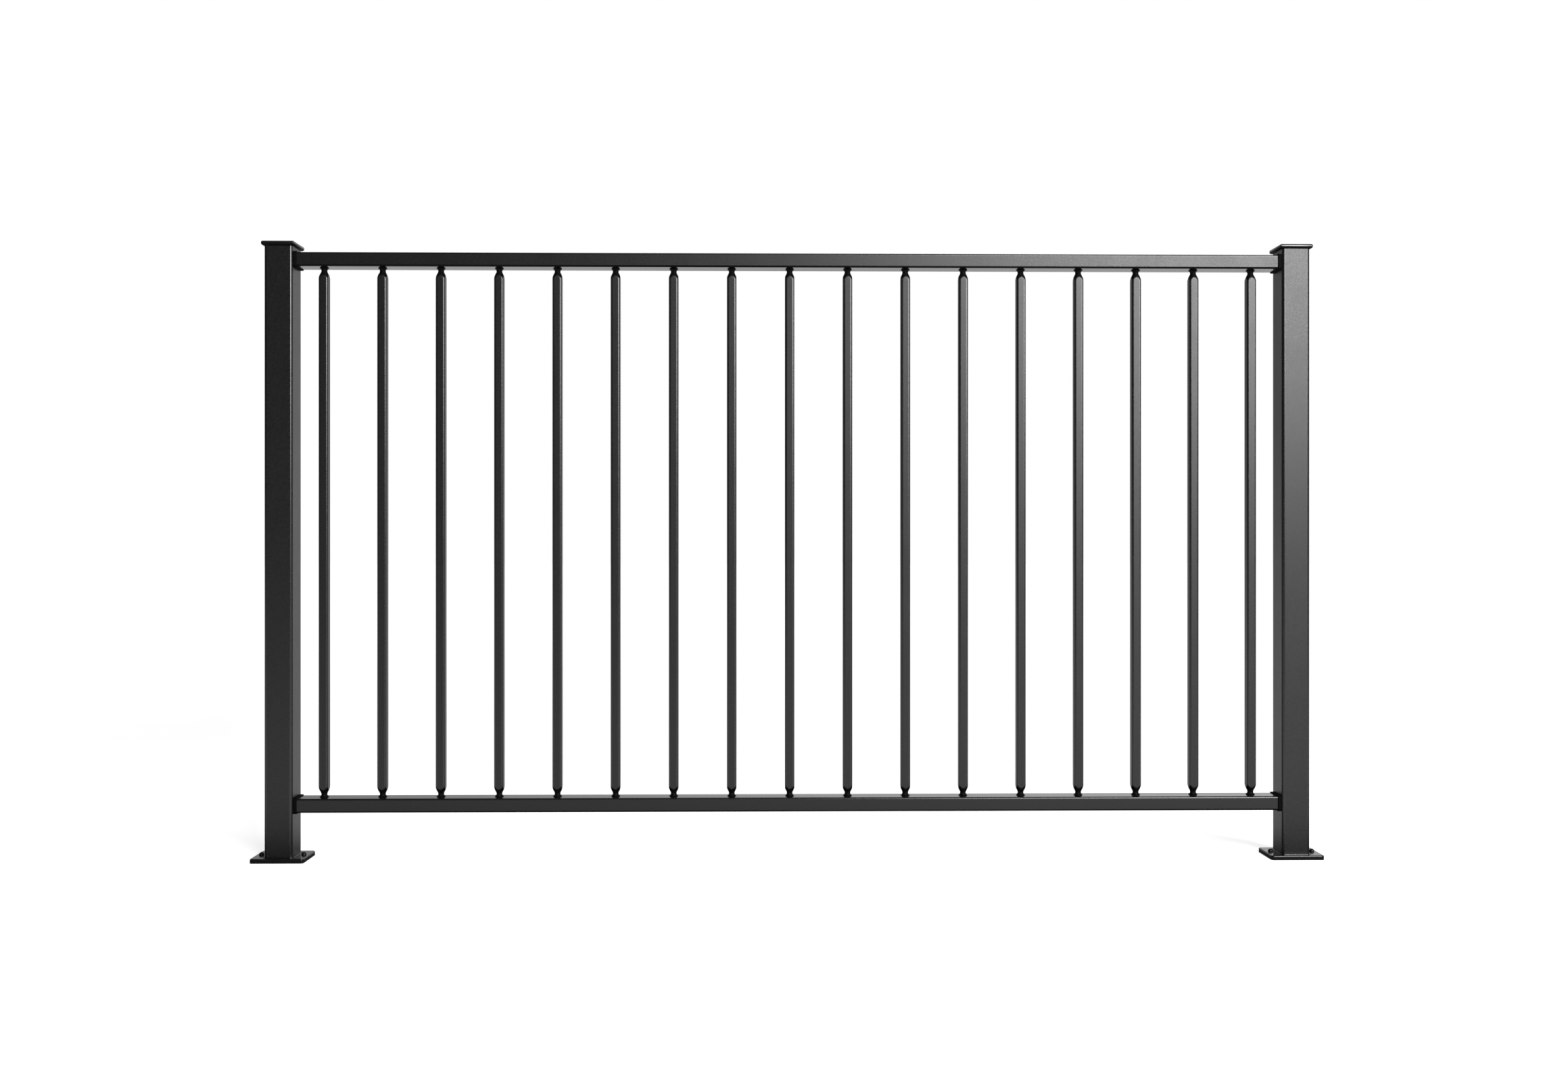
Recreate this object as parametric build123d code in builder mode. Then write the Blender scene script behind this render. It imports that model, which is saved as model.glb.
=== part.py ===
"""A black railing panel: two square posts on bolted base plates, a top and a bottom rail held between
them on end brackets, and a row of square balusters whose turned ends are tenoned into the rails.

The origin is on the ground at the middle of the left base plate. +X runs along the panel to the right
post, +Y goes through it to the far side, and +Z is up. Sizes are in millimetres.
"""

import os

from build123d import *

os.makedirs("parts", exist_ok=True)

# Heights of the whole panel
panel_height = 1100.0
top_rail_drop = 18.0
bottom_rail_lift = 86.0

# Posts, square tube
post_size = 50.0
post_wall = 2.0
post_corner = 5.0

# Base plates, with one bolt hole on each side of the post
plate_length = 95.0
plate_depth = 70.0
plate_thickness = 8.0
plate_corner = 5.0
plate_edge_round = 2.0
bolt_spacing = 75.0
bolt_hole_diameter = 7.0

# Post caps, flat with a rounded edge, and a skirt that slips into the post
cap_thickness = 8.0
cap_overhang = 4.0
cap_edge_round = 3.6
cap_skirt_depth = 14.0
cap_skirt_wall = 2.0
cap_skirt_fit = 0.15

# Rails, rectangular tube
rail_depth = 40.0
rail_height = 25.0
rail_wall = 2.0
rail_corner = 3.0

# End brackets: a flange against the post, and a hollow plug inside the rail
bracket_thickness = 6.0
bracket_margin = 2.0
bracket_edge_round = 1.2
bracket_plug_length = 20.0
bracket_plug_wall = 2.5
bracket_plug_fit = 0.15

# Balusters, square bar
baluster_count = 17
baluster_size = 17.0
baluster_corner = 3.0
baluster_pitch = 104.0
end_gap = 40.5

# Turned end of a baluster, measured from the face of the rail
foot_diameter = 15.5
foot_rim = 0.8
neck_diameter = 11.4
neck_height = 8.0
shoulder_height = 13.5
tenon_diameter = 9.0
tenon_reach = 4.0
tenon_fit = 0.15

# Places that follow from the sizes above
baluster_run = (baluster_count - 1) * baluster_pitch
clear_span = baluster_run + baluster_size + 2 * end_gap
post_spacing = clear_span + post_size
panel_middle = post_spacing / 2
first_baluster = panel_middle - baluster_run / 2
post_top = panel_height - cap_thickness
top_rail_low = panel_height - top_rail_drop - rail_height
bottom_rail_top = bottom_rail_lift + rail_height
rail_start = post_size / 2 + bracket_thickness
rail_length = post_spacing - 2 * rail_start
tenon_hole_diameter = tenon_diameter + 2 * tenon_fit

sides = {"left": 0.0, "right": post_spacing}
inward = {"left": 1, "right": -1}


def save(piece, node):
    """Labels a finished piece with its name and writes it to a file of that name."""
    piece.label = node
    export_step(piece, f"parts/{node}.step")


# Base plates
for side, post_x in sides.items():
    with BuildPart() as base_plate:
        with BuildSketch(Plane((post_x, 0, 0))):
            RectangleRounded(plate_length, plate_depth, plate_corner)
            with GridLocations(bolt_spacing, 0, 2, 1):
                Circle(bolt_hole_diameter / 2, mode=Mode.SUBTRACT)
        extrude(amount=plate_thickness)
        upper_face = base_plate.faces().sort_by(Axis.Z)[-1]
        fillet(upper_face.outer_wire().edges(), plate_edge_round)
    save(base_plate.part, f"{side}_base_plate")

# Posts
for side, post_x in sides.items():
    with BuildPart() as post:
        with BuildSketch(Plane((post_x, 0, plate_thickness))):
            RectangleRounded(post_size, post_size, post_corner)
            offset(amount=-post_wall, mode=Mode.SUBTRACT)
        extrude(amount=post_top - plate_thickness)
    save(post.part, f"{side}_post")

# Post caps
cap_size = post_size + 2 * cap_overhang
cap_skirt_size = post_size - 2 * (post_wall + cap_skirt_fit)
for side, post_x in sides.items():
    with BuildPart() as post_cap:
        with BuildSketch(Plane((post_x, 0, post_top))):
            RectangleRounded(cap_size, cap_size, post_corner + cap_overhang)
        extrude(amount=cap_thickness)
        rims = post_cap.edges().group_by(Axis.Z)
        fillet(rims[0] + rims[-1], cap_edge_round)
        with BuildSketch(Plane((post_x, 0, post_top))):
            RectangleRounded(cap_skirt_size, cap_skirt_size, post_corner)
            offset(amount=-cap_skirt_wall, mode=Mode.SUBTRACT)
        extrude(amount=-cap_skirt_depth)
    save(post_cap.part, f"{side}_post_cap")

# Rails, each punched along one face for the baluster tenons
rail_lows = {"top": top_rail_low, "bottom": bottom_rail_lift}
punched_faces = {"top": top_rail_low, "bottom": bottom_rail_top - rail_wall}
for level, rail_low in rail_lows.items():
    rail_end = Plane((rail_start, 0, rail_low + rail_height / 2), x_dir=(0, 1, 0), z_dir=(1, 0, 0))
    with BuildPart() as rail:
        with BuildSketch(rail_end):
            RectangleRounded(rail_depth, rail_height, rail_corner)
            offset(amount=-rail_wall, mode=Mode.SUBTRACT)
        extrude(amount=rail_length)
        with BuildSketch(Plane((panel_middle, 0, punched_faces[level]))):
            with GridLocations(baluster_pitch, 0, baluster_count, 1):
                Circle(tenon_hole_diameter / 2)
        extrude(amount=rail_wall, mode=Mode.SUBTRACT)
    save(rail.part, f"{level}_rail")

# End brackets
bracket_depth = rail_depth + 2 * bracket_margin
bracket_height = rail_height + 2 * bracket_margin
plug_inset = 2 * (rail_wall + bracket_plug_fit)
for side, post_x in sides.items():
    for level, rail_low in rail_lows.items():
        seat = Plane(
            (post_x + inward[side] * post_size / 2, 0, rail_low + rail_height / 2),
            x_dir=(0, 1, 0),
            z_dir=(inward[side], 0, 0),
        )
        with BuildPart() as bracket:
            with BuildSketch(seat):
                RectangleRounded(bracket_depth, bracket_height, rail_corner + bracket_margin)
            extrude(amount=bracket_thickness)
            outer_face = bracket.faces().sort_by(Axis(seat.origin, seat.z_dir))[-1]
            fillet(outer_face.edges(), bracket_edge_round)
            with BuildSketch(seat.offset(bracket_thickness)):
                RectangleRounded(rail_depth - plug_inset, rail_height - plug_inset, rail_corner)
                offset(amount=-bracket_plug_wall, mode=Mode.SUBTRACT)
            extrude(amount=bracket_plug_length)
        save(bracket.part, f"{level}_{side}_bracket")

# Balusters: a turned form for the lower half, trimmed to the square bar and mirrored to the upper half
half_height = (top_rail_low - bottom_rail_top) / 2
shoulder_slope = (shoulder_height - neck_height) / (baluster_size - neck_diameter) * 2
full_radius = baluster_size
cone_height = neck_height + (full_radius - neck_diameter / 2) * shoulder_slope
tenon_length = rail_wall + tenon_reach
for number in range(1, baluster_count + 1):
    axis_x = first_baluster + (number - 1) * baluster_pitch
    with BuildPart() as baluster:
        with BuildSketch(Plane((axis_x, 0, bottom_rail_top), x_dir=(1, 0, 0), z_dir=(0, -1, 0))):
            with BuildLine():
                Polyline(
                    (foot_diameter / 2, foot_rim),
                    (foot_diameter / 2, 0),
                    (tenon_diameter / 2, 0),
                    (tenon_diameter / 2, -tenon_length),
                    (0, -tenon_length),
                    (0, half_height),
                    (full_radius, half_height),
                    (full_radius, cone_height),
                    (neck_diameter / 2, neck_height),
                )
                TangentArc(
                    (neck_diameter / 2, neck_height),
                    (foot_diameter / 2, foot_rim),
                    tangent=(-1, -shoulder_slope),
                )
            make_face()
        revolve(axis=Axis((axis_x, 0, 0), (0, 0, 1)))
        with BuildSketch(Plane((axis_x, 0, bottom_rail_top - tenon_length))):
            RectangleRounded(baluster_size, baluster_size, baluster_corner)
        extrude(amount=tenon_length + half_height, mode=Mode.INTERSECT)
        mirror(about=Plane((axis_x, 0, bottom_rail_top + half_height)))
    save(baluster.part, f"baluster_{number:02d}")
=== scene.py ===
import math

import bmesh
import bpy
from mathutils import Matrix, Vector


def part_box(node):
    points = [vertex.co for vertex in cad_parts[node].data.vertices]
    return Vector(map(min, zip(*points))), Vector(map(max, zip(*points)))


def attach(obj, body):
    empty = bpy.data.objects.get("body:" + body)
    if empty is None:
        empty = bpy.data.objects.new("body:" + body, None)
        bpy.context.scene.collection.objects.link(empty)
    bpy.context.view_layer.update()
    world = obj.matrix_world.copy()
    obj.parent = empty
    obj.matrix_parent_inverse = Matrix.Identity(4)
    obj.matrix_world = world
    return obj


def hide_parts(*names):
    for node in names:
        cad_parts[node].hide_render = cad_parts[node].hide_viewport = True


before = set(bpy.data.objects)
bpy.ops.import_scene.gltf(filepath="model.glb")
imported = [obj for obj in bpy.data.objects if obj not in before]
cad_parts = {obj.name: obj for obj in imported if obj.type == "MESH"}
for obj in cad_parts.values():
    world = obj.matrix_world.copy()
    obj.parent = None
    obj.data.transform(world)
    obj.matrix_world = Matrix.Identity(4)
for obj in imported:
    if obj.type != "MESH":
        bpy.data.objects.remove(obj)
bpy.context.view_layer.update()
scene = bpy.context.scene

# Base plates: two flat steel plates, sawn from bar, drilled for the anchor bolts and welded under the posts.
# They are powder coated with the rest of the panel, in a satin black with a fine grain. The powder flows out
# smoother on level faces and over rounded corners.
COAT_BLACK = 0.0045
PLATE_GLOSS = 0.26
CORNER_GLOSS = 0.27
LEVEL_GLOSS = 0.15
GRAIN_SIZE = 0.0017
GRAIN_HEIGHT = 0.00004
DUST_SIZE = 0.0022
DUST_SHADES = ((0.30, 0.50, 0.48), (0.70, 1.90, 1.80))
PATCHES_PER_METRE = 22.0
PATCH_DRIFT = 0.012
NOISE_LOW = 0.3
NOISE_HIGH = 0.7
FLAT_LIMIT = 0.999
LOWER_LIMIT = -0.05


def add_node(tree, kind, **settings):
    """Adds one node to a tree, with its settings and its inputs by name."""
    node = tree.nodes.new(kind)
    for name, value in settings.items():
        label = name.replace("_", " ").title()
        if label in node.inputs:
            node.inputs[label].default_value = value
        else:
            setattr(node, name, value)
    return node


def powder_coat(name, black, gloss, specular=0.5, speckle=0.040):
    """Satin black powder coat: a sandy grain in its colour, gloss and height, over slow patches of gloss."""
    coat = bpy.data.materials.new(name)
    coat.use_nodes = True
    tree = coat.node_tree
    shader = tree.nodes["Principled BSDF"]
    shader.inputs["Specular IOR Level"].default_value = specular
    place = add_node(tree, "ShaderNodeTexCoord")
    grain = add_node(tree, "ShaderNodeTexNoise", scale=1 / GRAIN_SIZE, detail=1.5)
    dust = add_node(tree, "ShaderNodeTexNoise", scale=1 / DUST_SIZE, detail=1.5)
    patches = add_node(tree, "ShaderNodeTexNoise", scale=PATCHES_PER_METRE, detail=3.0)
    for cells in (grain, dust, patches):
        tree.links.new(place.outputs["Object"], cells.inputs["Vector"])

    colour = add_node(tree, "ShaderNodeValToRGB")
    for stop, (level, shade, blue_shade) in zip(colour.color_ramp.elements, DUST_SHADES):
        stop.position = level
        stop.color = (black * shade, black * shade, black * blue_shade, 1)
    tree.links.new(dust.outputs["Fac"], colour.inputs["Fac"])
    tree.links.new(colour.outputs["Color"], shader.inputs["Base Color"])

    satin = add_node(tree, "ShaderNodeMapRange", from_min=NOISE_LOW, from_max=NOISE_HIGH,
                     to_min=gloss - speckle, to_max=gloss + speckle)
    tree.links.new(grain.outputs["Fac"], satin.inputs["Value"])
    drift = add_node(tree, "ShaderNodeMapRange", from_min=NOISE_LOW, from_max=NOISE_HIGH,
                     to_min=-PATCH_DRIFT, to_max=PATCH_DRIFT)
    tree.links.new(patches.outputs["Fac"], drift.inputs["Value"])
    roughness = add_node(tree, "ShaderNodeMath", operation="ADD")
    tree.links.new(satin.outputs["Result"], roughness.inputs[0])
    tree.links.new(drift.outputs["Result"], roughness.inputs[1])
    tree.links.new(roughness.outputs[0], shader.inputs["Roughness"])

    bump = add_node(tree, "ShaderNodeBump", strength=0.5, distance=GRAIN_HEIGHT)
    tree.links.new(grain.outputs["Fac"], bump.inputs["Height"])
    tree.links.new(bump.outputs["Normal"], shader.inputs["Normal"])
    return coat


def finish_nodes(names, on_faces, on_corners, on_level=None, on_lower=None):
    """Gives CAD nodes a coat on upright faces, on rounded corners, on level faces and on lower corners."""
    coats = (on_faces, on_corners, on_level or on_faces, on_lower or on_corners)
    upright, rounded, level, lower = range(len(coats))
    for name in names:
        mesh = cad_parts[name].data
        mesh.materials.clear()
        for coat in coats:
            mesh.materials.append(coat)
        for face in mesh.polygons:
            if max(abs(part) for part in face.normal) < FLAT_LIMIT:
                face.material_index = lower if face.normal.z < LOWER_LIMIT else rounded
            else:
                face.material_index = level if abs(face.normal.z) > FLAT_LIMIT else upright


plate_coat = powder_coat("plate_coat", COAT_BLACK, PLATE_GLOSS)
corner_coat = powder_coat("corner_coat", COAT_BLACK, CORNER_GLOSS, specular=0.65, speckle=0.015)
level_coat = powder_coat("level_coat", COAT_BLACK, LEVEL_GLOSS, specular=0.8, speckle=0.020)
sides = ("left", "right")
finish_nodes([f"{side}_base_plate" for side in sides], plate_coat, corner_coat, on_level=level_coat)

# Posts: square steel tube with rounded corners, cut to length, standing on the plates and coated with them.
# Their flat faces have a duller satin than the plates.
TUBE_GLOSS = 0.39
tube_coat = powder_coat("tube_coat", COAT_BLACK, TUBE_GLOSS)
finish_nodes([f"{side}_post" for side in sides], tube_coat, corner_coat)

# Foot welds: a flat fillet weld all round the foot of each post, made before the coat goes on.
# It is swept along the outline of the tube, and its face has the low ripple of the weld pool.
POST_CORNER = 0.005
CORNER_POINTS = 12
WELD_LEG = 0.0025
WELD_SECTION = ((-0.2, -0.2), (1.2, -0.2), (0.52, 0.52), (-0.2, 1.2))
WELD_STEP = 0.0006
WELD_RIPPLE = 0.0002
RIPPLES_PER_METRE = 700.0
plate_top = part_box("left_base_plate")[1].z
post_low, post_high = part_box("left_post")
post_size = post_high.x - post_low.x
post_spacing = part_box("right_post")[0].x - post_low.x


def new_tree(name, inputs):
    """An empty Geometry Nodes tree with these named inputs, its input values and its output."""
    tree = bpy.data.node_groups.new(name, "GeometryNodeTree")
    tree.interface.new_socket(name="Geometry", in_out="OUTPUT", socket_type="NodeSocketGeometry")
    for label in inputs:
        tree.interface.new_socket(name=label, in_out="INPUT", socket_type="NodeSocketFloat")
    values = add_node(tree, "NodeGroupInput").outputs
    output = add_node(tree, "NodeGroupOutput").inputs["Geometry"]
    return tree, values, output


def copies(tree, shape, spacing, count, start=0.0):
    """Repeats a shape along X, from so many spacings past the origin. The spacing is a value of the tree."""
    step = add_node(tree, "ShaderNodeCombineXYZ")
    tree.links.new(spacing, step.inputs["X"])
    begin = add_node(tree, "ShaderNodeVectorMath", operation="SCALE")
    begin.inputs["Scale"].default_value = start
    tree.links.new(step.outputs[0], begin.inputs[0])
    line = add_node(tree, "GeometryNodeMeshLine", count=count)
    tree.links.new(begin.outputs[0], line.inputs["Start Location"])
    tree.links.new(step.outputs[0], line.inputs["Offset"])
    placed = add_node(tree, "GeometryNodeInstanceOnPoints")
    tree.links.new(line.outputs["Mesh"], placed.inputs["Points"])
    tree.links.new(shape, placed.inputs["Instance"])
    return placed.outputs["Instances"]


def close_tree(tree, shape, height, materials, output):
    """Lifts the shapes to their height, makes them real and gives each face the material of its finish."""
    lift = add_node(tree, "ShaderNodeCombineXYZ")
    tree.links.new(height, lift.inputs["Z"])
    lifted = add_node(tree, "GeometryNodeTransform")
    tree.links.new(shape, lifted.inputs["Geometry"])
    tree.links.new(lift.outputs[0], lifted.inputs["Translation"])
    real = add_node(tree, "GeometryNodeRealizeInstances")
    tree.links.new(lifted.outputs["Geometry"], real.inputs["Geometry"])
    shape = real.outputs["Geometry"]
    for number, material in enumerate(materials):
        painted = add_node(tree, "GeometryNodeSetMaterial", material=material)
        tree.links.new(shape, painted.inputs["Geometry"])
        shape = painted.outputs["Geometry"]
        if number > 0:
            finish = add_node(tree, "GeometryNodeInputNamedAttribute", data_type="INT", name="finish")
            chosen = add_node(tree, "FunctionNodeCompare", data_type="INT", operation="EQUAL")
            chosen.inputs[3].default_value = number
            tree.links.new(finish.outputs["Attribute"], chosen.inputs[2])
            tree.links.new(chosen.outputs["Result"], painted.inputs["Selection"])
    tree.links.new(shape, output)


def grow(name, tree, values):
    """Runs a tree with its values, keeps the result as a plain mesh and joins it to the panel."""
    piece = bpy.data.objects.new(name, bpy.data.meshes.new(name))
    scene.collection.objects.link(piece)
    modifier = piece.modifiers.new("grow", "NODES")
    modifier.node_group = tree
    for socket in tree.interface.items_tree:
        if socket.name in values:
            modifier[socket.identifier] = values[socket.name]
    evaluated = piece.evaluated_get(bpy.context.evaluated_depsgraph_get())
    grown = bpy.data.meshes.new_from_object(evaluated)
    piece.modifiers.remove(modifier)
    piece.data = grown
    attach(piece, "root")
    return piece


weld_tree, weld_in, weld_out = new_tree(
    "foot_weld", ("Post Size", "Post Corner", "Post Spacing", "Plate Top", "Weld Leg", "Ripple"))
link = weld_tree.links.new
outline = add_node(weld_tree, "GeometryNodeCurvePrimitiveQuadrilateral")
link(weld_in["Post Size"], outline.inputs["Width"])
link(weld_in["Post Size"], outline.inputs["Height"])
rounded = add_node(weld_tree, "GeometryNodeFilletCurve", mode="POLY", count=CORNER_POINTS)
link(outline.outputs["Curve"], rounded.inputs["Curve"])
link(weld_in["Post Corner"], rounded.inputs["Radius"])
path = add_node(weld_tree, "GeometryNodeResampleCurve", mode="LENGTH", length=WELD_STEP)
link(rounded.outputs["Curve"], path.inputs["Curve"])
section = add_node(weld_tree, "GeometryNodeCurvePrimitiveQuadrilateral", mode="POINTS")
for number, (across, up) in enumerate(WELD_SECTION, 1):
    section.inputs[f"Point {number}"].default_value = (across, up, 0)
bead = add_node(weld_tree, "GeometryNodeCurveToMesh")
link(path.outputs["Curve"], bead.inputs["Curve"])
link(section.outputs["Curve"], bead.inputs["Profile Curve"])
link(weld_in["Weld Leg"], bead.inputs["Scale"])
pool = add_node(weld_tree, "ShaderNodeTexNoise", scale=RIPPLES_PER_METRE, detail=1.0)
swell = add_node(weld_tree, "ShaderNodeMath", operation="MULTIPLY")
link(pool.outputs["Fac"], swell.inputs[0])
link(weld_in["Ripple"], swell.inputs[1])
outward = add_node(weld_tree, "GeometryNodeInputNormal")
push = add_node(weld_tree, "ShaderNodeVectorMath", operation="SCALE")
link(outward.outputs["Normal"], push.inputs[0])
link(swell.outputs[0], push.inputs["Scale"])
rippled = add_node(weld_tree, "GeometryNodeSetPosition")
link(bead.outputs["Mesh"], rippled.inputs["Geometry"])
link(push.outputs[0], rippled.inputs["Offset"])
both_welds = copies(weld_tree, rippled.outputs["Geometry"], weld_in["Post Spacing"], len(sides))
close_tree(weld_tree, both_welds, weld_in["Plate Top"], [corner_coat], weld_out)
grow("foot_welds", weld_tree, {
    "Post Size": post_size, "Post Corner": POST_CORNER, "Post Spacing": post_spacing,
    "Plate Top": plate_top, "Weld Leg": WELD_LEG, "Ripple": WELD_RIPPLE})

# Post caps: pressed steel lids, mitred at the corners, with a blunt front and rolled edges. They are tapped
# into the tops of the posts and coated with them. Under their edge the coat is painted a darker, duller
# black: painted shade.
CAP_MITRE = 0.0012
MITRE_STEPS = 3
UPPER_ROLL = 0.0028
LOWER_ROLL = 0.0036
ROLL_STEPS = 6
SHARP_ANGLE = math.radians(40)
# The last finish number takes the painted shade.
SATIN, SMOOTH, PAINTED_SHADE = range(3)
cap_base = post_high.z
cap_low, cap_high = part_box("left_post_cap")
cap_half = (cap_high.x - cap_low.x) / 2
cap_thickness = cap_high.z - cap_base


def rounded_square(half, corner, arc_steps, flat_steps):
    """The outline of a square with rounded corners, as points that go round once."""
    straight = half - corner
    quarter = []
    for step in range(arc_steps + 1):
        angle = step / arc_steps * math.pi / 2
        quarter.append(Vector((straight + corner * math.cos(angle), straight + corner * math.sin(angle), 0)))
    for step in range(1, flat_steps):
        quarter.append(Vector((straight - 2 * straight * step / flat_steps, half, 0)))
    return [Matrix.Rotation(turn * math.pi / 2, 3, "Z") @ point for turn in range(4) for point in quarter]


def loft(name, rings, finish):
    """A closed mesh through rings of points, from the lowest up, with a finish number for each face."""
    around = len(rings[0])
    mesh = bpy.data.meshes.new(name)
    faces = [list(reversed(range(around)))]
    finishes = [finish(0, 0)]
    for band in range(len(rings) - 1):
        low = band * around
        high = low + around
        for column in range(around):
            beside = (column + 1) % around
            faces.append([low + column, low + beside, high + beside, high + column])
            finishes.append(finish(band, column))
    faces.append([(len(rings) - 1) * around + column for column in range(around)])
    finishes.append(finish(len(rings) - 1, 0))
    mesh.from_pydata([point for ring in rings for point in ring], [], faces)
    mesh.attributes.new("finish", "INT", "FACE").data.foreach_set("value", finishes)
    mesh.shade_smooth()
    mesh.set_sharp_from_angle(angle=SHARP_ANGLE)
    return bpy.data.objects.new(name, mesh)


def dull_black(name, black, roughness, specular, texture_size, texture_height):
    """A dull black skin with a fine, even texture."""
    skin = bpy.data.materials.new(name)
    skin.use_nodes = True
    tree = skin.node_tree
    shader = tree.nodes["Principled BSDF"]
    shader.inputs["Base Color"].default_value = (black, black, black, 1)
    shader.inputs["Roughness"].default_value = roughness
    shader.inputs["Specular IOR Level"].default_value = specular
    place = add_node(tree, "ShaderNodeTexCoord")
    cells = add_node(tree, "ShaderNodeTexNoise", scale=1 / texture_size, detail=2.0)
    tree.links.new(place.outputs["Object"], cells.inputs["Vector"])
    bump = add_node(tree, "ShaderNodeBump", strength=0.5, distance=texture_height)
    tree.links.new(cells.outputs["Fac"], bump.inputs["Height"])
    tree.links.new(bump.outputs["Normal"], shader.inputs["Normal"])
    return skin


# Painted shade: a darker, duller black for lower rail corners, cap edge undersides and baluster ends.
painted_shade_coat = dull_black("painted_shade_coat", black=0.0015, roughness=0.6, specular=0.10,
                       texture_size=0.0012, texture_height=0.00008)
cap_edge = []
for step in range(ROLL_STEPS + 1):
    angle = step / ROLL_STEPS * math.pi / 2
    cap_edge.append((LOWER_ROLL * (math.sin(angle) - 1), LOWER_ROLL * (1 - math.cos(angle))))
for step in range(ROLL_STEPS + 1):
    angle = step / ROLL_STEPS * math.pi / 2
    cap_edge.append((UPPER_ROLL * (math.cos(angle) - 1), cap_thickness - UPPER_ROLL * (1 - math.sin(angle))))
cap_rings = []
for inset, height in cap_edge:
    cap_outline = rounded_square(cap_half + inset, CAP_MITRE, MITRE_STEPS, flat_steps=1)
    cap_rings.append([point + Vector((0, 0, height)) for point in cap_outline])


def cap_finish(band, column):
    """Painted shade under the edge, smooth round its front, and satin on the top."""
    if band < ROLL_STEPS:
        return PAINTED_SHADE
    return SMOOTH if band < len(cap_rings) - 1 else SATIN


cap = loft("cap", cap_rings, cap_finish)
cap_tree, cap_in, cap_out = new_tree("post_cap", ("Post Spacing", "Cap Base"))
one_cap = add_node(cap_tree, "GeometryNodeObjectInfo", object=cap)
both_caps = copies(cap_tree, one_cap.outputs["Geometry"], cap_in["Post Spacing"], len(sides))
close_tree(cap_tree, both_caps, cap_in["Cap Base"], [tube_coat, corner_coat, painted_shade_coat], cap_out)
post_caps = grow("post_caps", cap_tree, {"Post Spacing": post_spacing, "Cap Base": cap_base})
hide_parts(*[f"{side}_post_cap" for side in sides])
bpy.data.objects.remove(cap)

# End brackets: black nylon sockets, moulded in one piece, screwed to the posts before the rails go in.
# Their skin is matte and finely sparked, so they stay black where the steel beside them shines.
nylon = dull_black("bracket_nylon", black=0.0020, roughness=0.75, specular=0.06,
                   texture_size=0.0007, texture_height=0.0001)
finish_nodes([f"{level}_{side}_bracket" for level in ("top", "bottom") for side in sides], nylon, nylon)

# Rails: rectangular steel tube, cut to fit between the brackets and punched for the balusters.
# They have the same coat as the posts, smoother on their upper and lower faces. Their lower corners are
# painted a darker, duller black: painted shade.
RAIL_BLACK = 0.0030
rail_coat = powder_coat("rail_coat", RAIL_BLACK, TUBE_GLOSS)
finish_nodes(["top_rail", "bottom_rail"], rail_coat, corner_coat, on_level=level_coat, on_lower=painted_shade_coat)

# Balusters: square steel bar with rounded corners, turned down at both ends to a foot and a tenon that is
# set in the rail. A round groove makes the neck, and its cone runs softly out into the flats of the bar.
# The turned ends are painted a darker, duller black than the drawn bar: painted shade.
BAR_CORNER = 0.0035
TENON_RADIUS = 0.0045
TENON_LENGTH = 0.006
FOOT_RADIUS = 0.00775
NECK_RADIUS = 0.0051
NECK_HEIGHT = 0.0055
GROOVE_RADIUS = 0.0055
GROOVE_STEPS = 8
CONE_ANGLE = math.radians(27)
CONE_END = 1.0
CONE_STEPS = (0.4, 0.6, 0.75, 0.88, CONE_END, 1.12, 1.25, 1.45)
ARRIS_BLEND = 0.0012
TURNED_LENGTH = 0.024
ARC_STEPS = 6
FLAT_STEPS = 8
bar_names = sorted(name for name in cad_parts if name.startswith("baluster_"))
bar_low, bar_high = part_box(bar_names[0])
bar_half = (bar_high.x - bar_low.x) / 2
bar_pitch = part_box(bar_names[1])[0].x - bar_low.x
first_bar = bar_low.x + bar_half
rail_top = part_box("bottom_rail")[1].z
bar_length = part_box("top_rail")[0].z - rail_top


def soft_min(first, second, blend):
    """The smaller of two lengths, rounded over where they are nearly the same."""
    overlap = max(blend - abs(first - second), 0) / blend
    return min(first, second) - overlap ** 2 * blend / 4


def bar_end(reach):
    """Radii and heights from the tenon up, in a direction in which the bar reaches this far."""
    line = [(TENON_RADIUS, -TENON_LENGTH), (TENON_RADIUS, 0), (FOOT_RADIUS, 0)]
    foot_angle = -math.acos(1 - (FOOT_RADIUS - NECK_RADIUS) / GROOVE_RADIUS)
    for step in range(GROOVE_STEPS + 1):
        angle = foot_angle + (CONE_ANGLE - foot_angle) * step / GROOVE_STEPS
        line.append((NECK_RADIUS + GROOVE_RADIUS * (1 - math.cos(angle)),
                     NECK_HEIGHT + GROOVE_RADIUS * math.sin(angle)))
    cone_radius, cone_height = line[-1]
    for share in CONE_STEPS:
        growth = (reach - cone_radius) * share
        radius = soft_min(cone_radius + growth, reach, ARRIS_BLEND)
        line.append((radius, cone_height + growth / math.tan(CONE_ANGLE)))
    return line + [(reach, TURNED_LENGTH)]


columns = []
for point in rounded_square(bar_half, BAR_CORNER, ARC_STEPS, FLAT_STEPS):
    lower = bar_end(point.length)
    upper = [(radius, bar_length - height) for radius, height in reversed(lower)]
    columns.append([point.normalized() * radius + Vector((0, 0, height))
                    for radius, height in lower + upper])
bar_rings = list(zip(*columns))
turned_bands = len(bar_end(bar_half)) - 1 - (len(CONE_STEPS) - CONE_STEPS.index(CONE_END))


def bar_finish(band, column):
    """Painted shade on the turned ends, smooth on the corners of the bar, and satin on its flats."""
    if min(band, len(bar_rings) - 2 - band) < turned_bands:
        return PAINTED_SHADE
    return SMOOTH if column % (ARC_STEPS + FLAT_STEPS) < ARC_STEPS else SATIN


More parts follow.
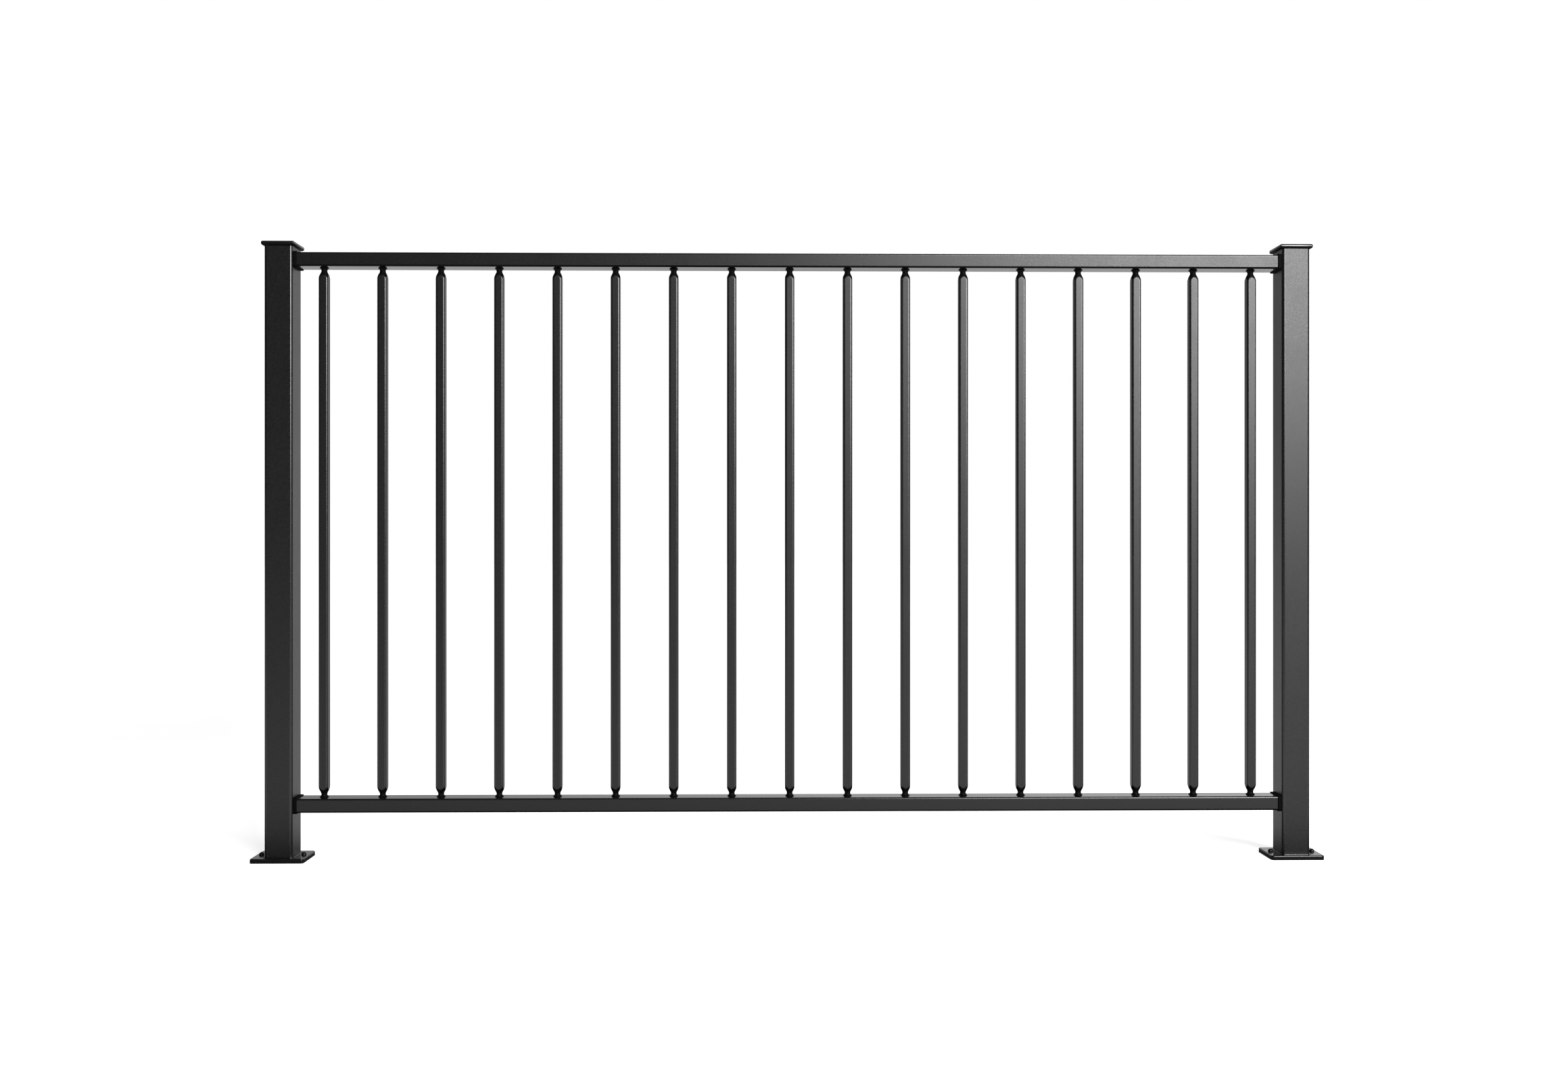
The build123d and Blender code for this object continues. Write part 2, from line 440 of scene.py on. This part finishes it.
bar_coat = powder_coat("bar_coat", COAT_BLACK, TUBE_GLOSS)
bar = loft("bar", bar_rings, bar_finish)
bar_tree, bar_in, bar_out = new_tree("baluster", ("Bar Pitch", "Rail Top"))
one_bar = add_node(bar_tree, "GeometryNodeObjectInfo", object=bar)
all_bars = copies(bar_tree, one_bar.outputs["Geometry"], bar_in["Bar Pitch"], len(bar_names),
                  start=first_bar / bar_pitch)
close_tree(bar_tree, all_bars, bar_in["Rail Top"], [bar_coat, corner_coat, painted_shade_coat], bar_out)
balusters = grow("balusters", bar_tree, {"Bar Pitch": bar_pitch, "Rail Top": rail_top})
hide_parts(*bar_names)
bpy.data.objects.remove(bar)

# Anchor bolts: a dome-headed steel bolt through each hole of the base plates, blackened and set in the
# ground. One bolt is turned from its outline and repeated on both sides of both posts.
BOLTS_PER_PLATE = 2
BOLT_SPACING = 0.075
SHANK_RADIUS = 0.003
HEAD_RADIUS = 0.0044
HEAD_RIM = 0.0010
HEAD_HEIGHT = 0.0050
DOME_STEPS = 8
TURN_STEPS = 40
SEAM_GAP = 1e-6
bolt_black = dull_black("bolt_black", black=0.0020, roughness=0.32, specular=0.35,
                        texture_size=0.0010, texture_height=0.00002)
profile = [(0, -plate_top), (SHANK_RADIUS, -plate_top), (SHANK_RADIUS, 0), (HEAD_RADIUS, 0)]
for step in range(DOME_STEPS + 1):
    angle = step / DOME_STEPS * math.pi / 2
    profile.append((HEAD_RADIUS * math.cos(angle), HEAD_RIM + (HEAD_HEIGHT - HEAD_RIM) * math.sin(angle)))
turning = bmesh.new()
corners = [turning.verts.new((radius, 0, height)) for radius, height in profile]
edges = [turning.edges.new(pair) for pair in zip(corners, corners[1:])]
bmesh.ops.spin(turning, geom=corners + edges, axis=(0, 0, 1), cent=(0, 0, 0), angle=2 * math.pi,
               steps=TURN_STEPS)
bmesh.ops.remove_doubles(turning, verts=turning.verts, dist=SEAM_GAP)
bmesh.ops.recalc_face_normals(turning, faces=turning.faces)
bolt_mesh = bpy.data.meshes.new("bolt")
turning.to_mesh(bolt_mesh)
turning.free()
bolt_mesh.shade_smooth()
bolt_mesh.set_sharp_from_angle(angle=SHARP_ANGLE)
bolt = bpy.data.objects.new("bolt", bolt_mesh)
bolt_tree, bolt_in, bolt_out = new_tree("anchor_bolt", ("Bolt Spacing", "Post Spacing", "Plate Top"))
one_bolt = add_node(bolt_tree, "GeometryNodeObjectInfo", object=bolt)
pair = copies(bolt_tree, one_bolt.outputs["Geometry"], bolt_in["Bolt Spacing"], BOLTS_PER_PLATE,
              start=(1 - BOLTS_PER_PLATE) / 2)
both_pairs = copies(bolt_tree, pair, bolt_in["Post Spacing"], len(sides))
close_tree(bolt_tree, both_pairs, bolt_in["Plate Top"], [bolt_black], bolt_out)
grow("anchor_bolts", bolt_tree, {
    "Bolt Spacing": BOLT_SPACING, "Post Spacing": post_spacing, "Plate Top": plate_top})
bpy.data.objects.remove(bolt)

# Studio floor: a wide sheet of pale paper on which the panel stands, white to the camera and with a soft
# shadow. The coat shows it white from a few steps away, and dim close to the panel. Each pair of the shine
# is a place along Y and its brightness.
FLOOR_PALE = (0.80, 0.80, 0.80, 1)
FLOOR_REACH = 30.0
FLOOR_WHITE = 0.78
FLOOR_NEAR = 2.0
FLOOR_FAR = 6.0
FLOOR_SHINE = ((-7.0, 0.10), (-3.0, 0.75), (-0.32, 1.10), (-0.13, 0.06), (0.04, 0.06), (0.28, 0.80))
SHINE_START = -8.0
SHINE_END = 4.0
floor_mesh = bpy.data.meshes.new("studio_floor")
floor_corners = [Vector((x, y, 0)) * FLOOR_REACH for x, y in ((-1, -1), (1, -1), (1, 1), (-1, 1))]
floor_mesh.from_pydata(floor_corners, [], [(0, 1, 2, 3)])
floor = bpy.data.objects.new("studio_floor", floor_mesh)
scene.collection.objects.link(floor)
floor_paper = bpy.data.materials.new("floor_paper")
floor_paper.use_nodes = True
floor_tree = floor_paper.node_tree
link = floor_tree.links.new
floor_shader = floor_tree.nodes["Principled BSDF"]
floor_shader.inputs["Base Color"].default_value = FLOOR_PALE
floor_shader.inputs["Roughness"].default_value = 0.9
floor_shader.inputs["Specular IOR Level"].default_value = 0.0
floor_shader.inputs["Emission Color"].default_value = (1, 1, 1, 1)
floor_rays = add_node(floor_tree, "ShaderNodeLightPath")
floor_place = add_node(floor_tree, "ShaderNodeTexCoord")
floor_axes = add_node(floor_tree, "ShaderNodeSeparateXYZ")
link(floor_place.outputs["Object"], floor_axes.inputs[0])
floor_distance = add_node(floor_tree, "ShaderNodeVectorMath", operation="LENGTH")
link(floor_place.outputs["Object"], floor_distance.inputs[0])
floor_fade = add_node(floor_tree, "ShaderNodeMapRange", from_min=FLOOR_NEAR, from_max=FLOOR_FAR,
                      to_min=FLOOR_WHITE, to_max=1.0)
link(floor_distance.outputs["Value"], floor_fade.inputs["Value"])
floor_level = add_node(floor_tree, "ShaderNodeMath", operation="MULTIPLY")
link(floor_rays.outputs["Is Camera Ray"], floor_level.inputs[0])
link(floor_fade.outputs["Result"], floor_level.inputs[1])
link(floor_level.outputs[0], floor_shader.inputs["Emission Strength"])
floor_span = add_node(floor_tree, "ShaderNodeMapRange", from_min=SHINE_START, from_max=SHINE_END)
link(floor_axes.outputs["Y"], floor_span.inputs["Value"])
floor_ramp = add_node(floor_tree, "ShaderNodeValToRGB")
stops = floor_ramp.color_ramp.elements
for number, (distance, brightness) in enumerate(FLOOR_SHINE):
    position = (distance - SHINE_START) / (SHINE_END - SHINE_START)
    stop = stops[number] if number < 2 else stops.new(position)
    stop.position = position
    stop.color = (brightness, brightness, brightness, 1)
link(floor_span.outputs["Result"], floor_ramp.inputs["Fac"])
floor_shine = add_node(floor_tree, "ShaderNodeEmission")
link(floor_ramp.outputs["Color"], floor_shine.inputs["Color"])
floor_mix = add_node(floor_tree, "ShaderNodeMixShader")
link(floor_rays.outputs["Is Glossy Ray"], floor_mix.inputs["Fac"])
link(floor_shader.outputs["BSDF"], floor_mix.inputs[1])
link(floor_shine.outputs["Emission"], floor_mix.inputs[2])
link(floor_mix.outputs["Shader"], floor_tree.nodes["Material Output"].inputs["Surface"])
floor_mesh.materials.append(floor_paper)

# Studio room: white to the camera. Other rays meet a bright sweep of paper behind the panel, brighter to the
# right, under a dark ceiling and in front of a dim room. The ranges are shares of a direction's length.
ROOM_DIM = 0.04
SWEEP_LEFT = 0.40
SWEEP_RIGHT = 0.90
SWEEP_BACK = (0.0, 0.7)
SWEEP_ACROSS = (-0.45, 0.35)
SWEEP_TOP = (0.30, 0.75)
room = bpy.data.worlds.new("studio_room")
scene.world = room
room.use_nodes = True
room_tree = room.node_tree
room_light = room_tree.nodes["Background"]
room_light.inputs["Color"].default_value = (1, 1, 1, 1)
direction = add_node(room_tree, "ShaderNodeTexCoord")
axes = add_node(room_tree, "ShaderNodeSeparateXYZ")
room_tree.links.new(direction.outputs["Generated"], axes.inputs[0])


def ramp(axis, reach, low, high):
    """A smooth change of brightness along one axis of the room."""
    change = add_node(room_tree, "ShaderNodeMapRange", interpolation_type="SMOOTHSTEP",
                      from_min=reach[0], from_max=reach[1], to_min=low, to_max=high)
    room_tree.links.new(axes.outputs[axis], change.inputs["Value"])
    return change.outputs["Result"]


def combine(operation, first, second):
    """Joins two brightness values."""
    node = add_node(room_tree, "ShaderNodeMath", operation=operation)
    for value, socket in zip((first, second), node.inputs):
        if isinstance(value, float):
            socket.default_value = value
        else:
            room_tree.links.new(value, socket)
    return node.outputs[0]


sweep = ramp("Y", SWEEP_BACK, 0.0, 1.0)
sweep = combine("MULTIPLY", sweep, ramp("X", SWEEP_ACROSS, SWEEP_LEFT, SWEEP_RIGHT))
sweep = combine("MULTIPLY", sweep, ramp("Z", SWEEP_TOP, 1.0, 0.0))
sweep = combine("ADD", sweep, ROOM_DIM)
room_rays = add_node(room_tree, "ShaderNodeLightPath")
brightness = combine("MAXIMUM", sweep, room_rays.outputs["Is Camera Ray"])
room_tree.links.new(brightness, room_light.inputs["Strength"])

# Key light: one large square softbox on a stand, high in front and to the right, turned to the middle of the
# panel. It makes the sheen that is brightest at the upper right and fades down and to the left.
KEY_PLACE = Vector((3.12, -4.05, 2.57))
KEY_AIM = Vector((0.9, 0.0, 0.6))
KEY_SIZE = 2.6
KEY_RADIANCE = 16.8
key_lamp = bpy.data.lights.new("softbox", "AREA")
key_lamp.shape = "SQUARE"
key_lamp.size = KEY_SIZE
key_lamp.energy = KEY_RADIANCE * math.pi * KEY_SIZE ** 2
key_light = bpy.data.objects.new("softbox", key_lamp)
key_light.location = KEY_PLACE
key_light.rotation_euler = (KEY_AIM - KEY_PLACE).to_track_quat("-Z", "Y").to_euler()
scene.collection.objects.link(key_light)

# Camera: level on its tripod, a little above the panel's mid-height and a little left of its middle, turned
# a touch to the right. The lens takes in the whole panel with a wide white margin.
CAMERA_PLACE = (0.8583, -2.5067, 0.5715)
CAMERA_TURN = -0.015
CAMERA_LENS = 32.03
SENSOR_WIDTH = 36.0
camera_data = bpy.data.cameras.new("camera")
camera_data.lens = CAMERA_LENS
camera_data.sensor_width = SENSOR_WIDTH
camera = bpy.data.objects.new("camera", camera_data)
camera.location = CAMERA_PLACE
camera.rotation_euler = (math.pi / 2, 0, CAMERA_TURN)
scene.collection.objects.link(camera)
scene.camera = camera
scene.view_settings.view_transform = "Standard"
